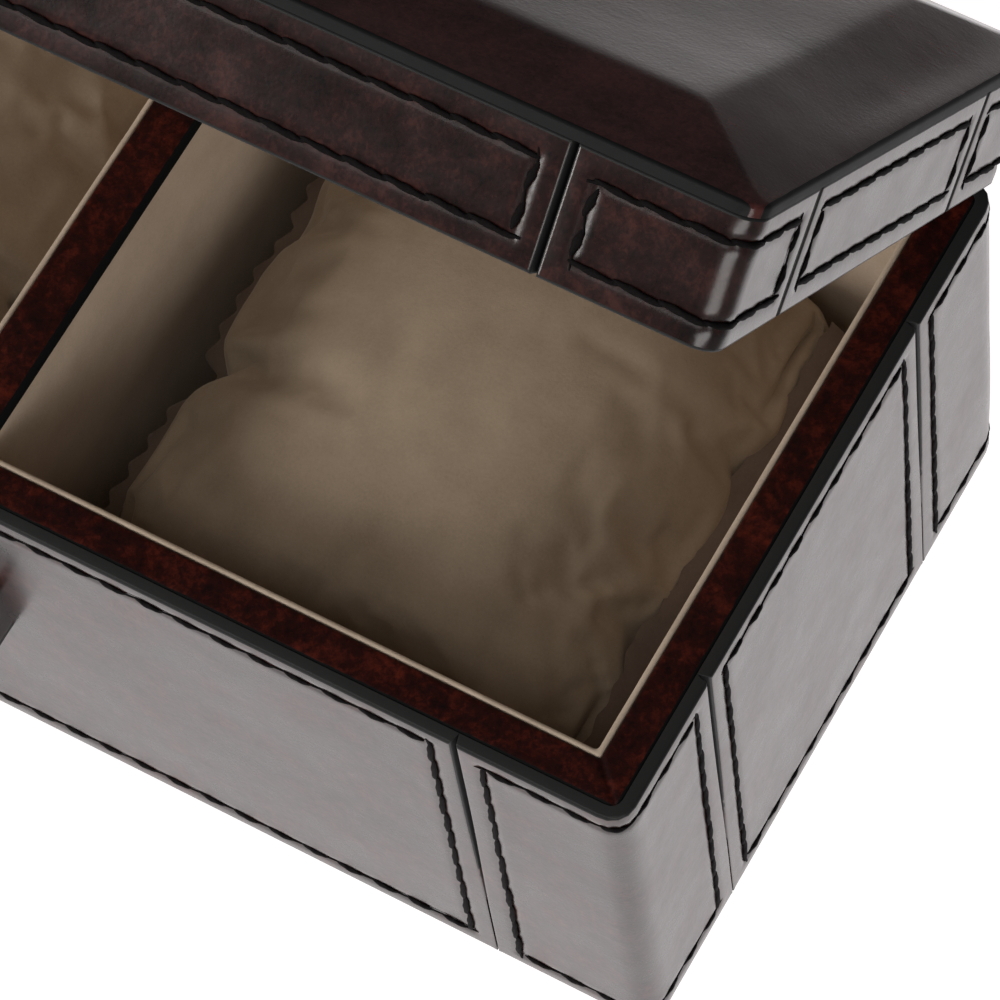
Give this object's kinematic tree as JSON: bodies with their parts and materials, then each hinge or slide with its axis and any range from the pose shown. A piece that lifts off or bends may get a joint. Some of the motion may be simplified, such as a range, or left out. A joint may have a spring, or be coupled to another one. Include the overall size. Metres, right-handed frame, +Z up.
{
  "type": "watch box",
  "caption": "Rectangular leather watch box with a divided suede interior, a loose cushion in each bay and a bevelled lid on butt hinges.",
  "frame": {"origin": "centre of the underside, on the surface that the box stands on", "axes": "+X along the front to the right seen from the front, +Y from front to back, +Z up"},
  "size_m": [0.2242, 0.1307, 0.172],
  "materials": {
    "outer_leather": "polished vegetable-tanned hide, dark brown, waxed to a gloss",
    "rim_leather": "red-brown hide with mottled dye, painted black along its outer edge",
    "strap_leather": "dark brown hide with black painted edges",
    "waxed_thread": "black waxed thread",
    "lining_suede": "cream suede cloth with a short nap",
    "underside_suede": "dark brown suede cloth",
    "cushion_suede": "cream suede cloth with pinked edges",
    "cushion_filling": "soft fibre wadding",
    "carcase_board": "bare fibreboard",
    "brass": "satin brass",
    "steel": "plain steel"
  },
  "bodies": {
    "base": {"base_front_board": "carcase_board", "base_back_board": "carcase_board", "base_left_board": "carcase_board", "base_right_board": "carcase_board", "base_bottom_board": "carcase_board", "divider_board": "carcase_board", "underside_cover": "underside_suede", "base_front_leather": "outer_leather", "base_back_leather": "outer_leather", "base_left_leather": "outer_leather", "base_right_leather": "outer_leather", "base_corner_front_left": "outer_leather", "base_corner_front_right": "outer_leather", "base_corner_back_left": "outer_leather", "base_corner_back_right": "outer_leather", "rim_leather_front": "rim_leather", "rim_leather_back": "rim_leather", "rim_leather_left": "rim_leather", "rim_leather_right": "rim_leather", "divider_leather_top": "rim_leather", "base_stitching": "waxed_thread", "lining_wall_left": "lining_suede", "lining_wall_right": "lining_suede", "lining_floor_left": "lining_suede", "lining_floor_right": "lining_suede", "keeper_loop": "strap_leather", "hinge_left_base_leaf": "brass", "hinge_right_base_leaf": "brass", "hinge_left_pin": "steel", "hinge_right_pin": "steel", "base_hinge_screws": "brass"},
    "lid": {"lid_front_board": "carcase_board", "lid_back_board": "carcase_board", "lid_left_board": "carcase_board", "lid_right_board": "carcase_board", "lid_top_board": "carcase_board", "lid_front_leather": "outer_leather", "lid_back_leather": "outer_leather", "lid_left_leather": "outer_leather", "lid_right_leather": "outer_leather", "lid_corner_front_left": "outer_leather", "lid_corner_front_right": "outer_leather", "lid_corner_back_left": "outer_leather", "lid_corner_back_right": "outer_leather", "lid_top_leather": "outer_leather", "lid_rim_leather": "rim_leather", "lid_stitching": "waxed_thread", "lid_lining_wall": "lining_suede", "lid_ceiling_lining": "lining_suede", "lid_tongue": "strap_leather", "hinge_left_lid_leaf": "brass", "hinge_right_lid_leaf": "brass", "lid_hinge_screws": "brass"},
    "cushion_left": {"cushion_left_cover": "cushion_suede", "cushion_left_filling": "cushion_filling"},
    "cushion_right": {"cushion_right_cover": "cushion_suede", "cushion_right_filling": "cushion_filling"}
  },
  "joints": [
    {"name": "lid_hinge", "type": "hinge", "parent": "base", "child": "lid", "pos_m": [0, 0.0576, 0.0785], "axis": [-1, 0, 0], "range_deg": [-45.4, 54.6]},
    {"name": "cushion_left_lift", "type": "slide", "parent": "base", "child": "cushion_left", "axis": [0, 0, 1], "range_m": [0, 0.02]},
    {"name": "cushion_right_lift", "type": "slide", "parent": "base", "child": "cushion_right", "axis": [0, 0, 1], "range_m": [0, 0.02]}
  ]
}
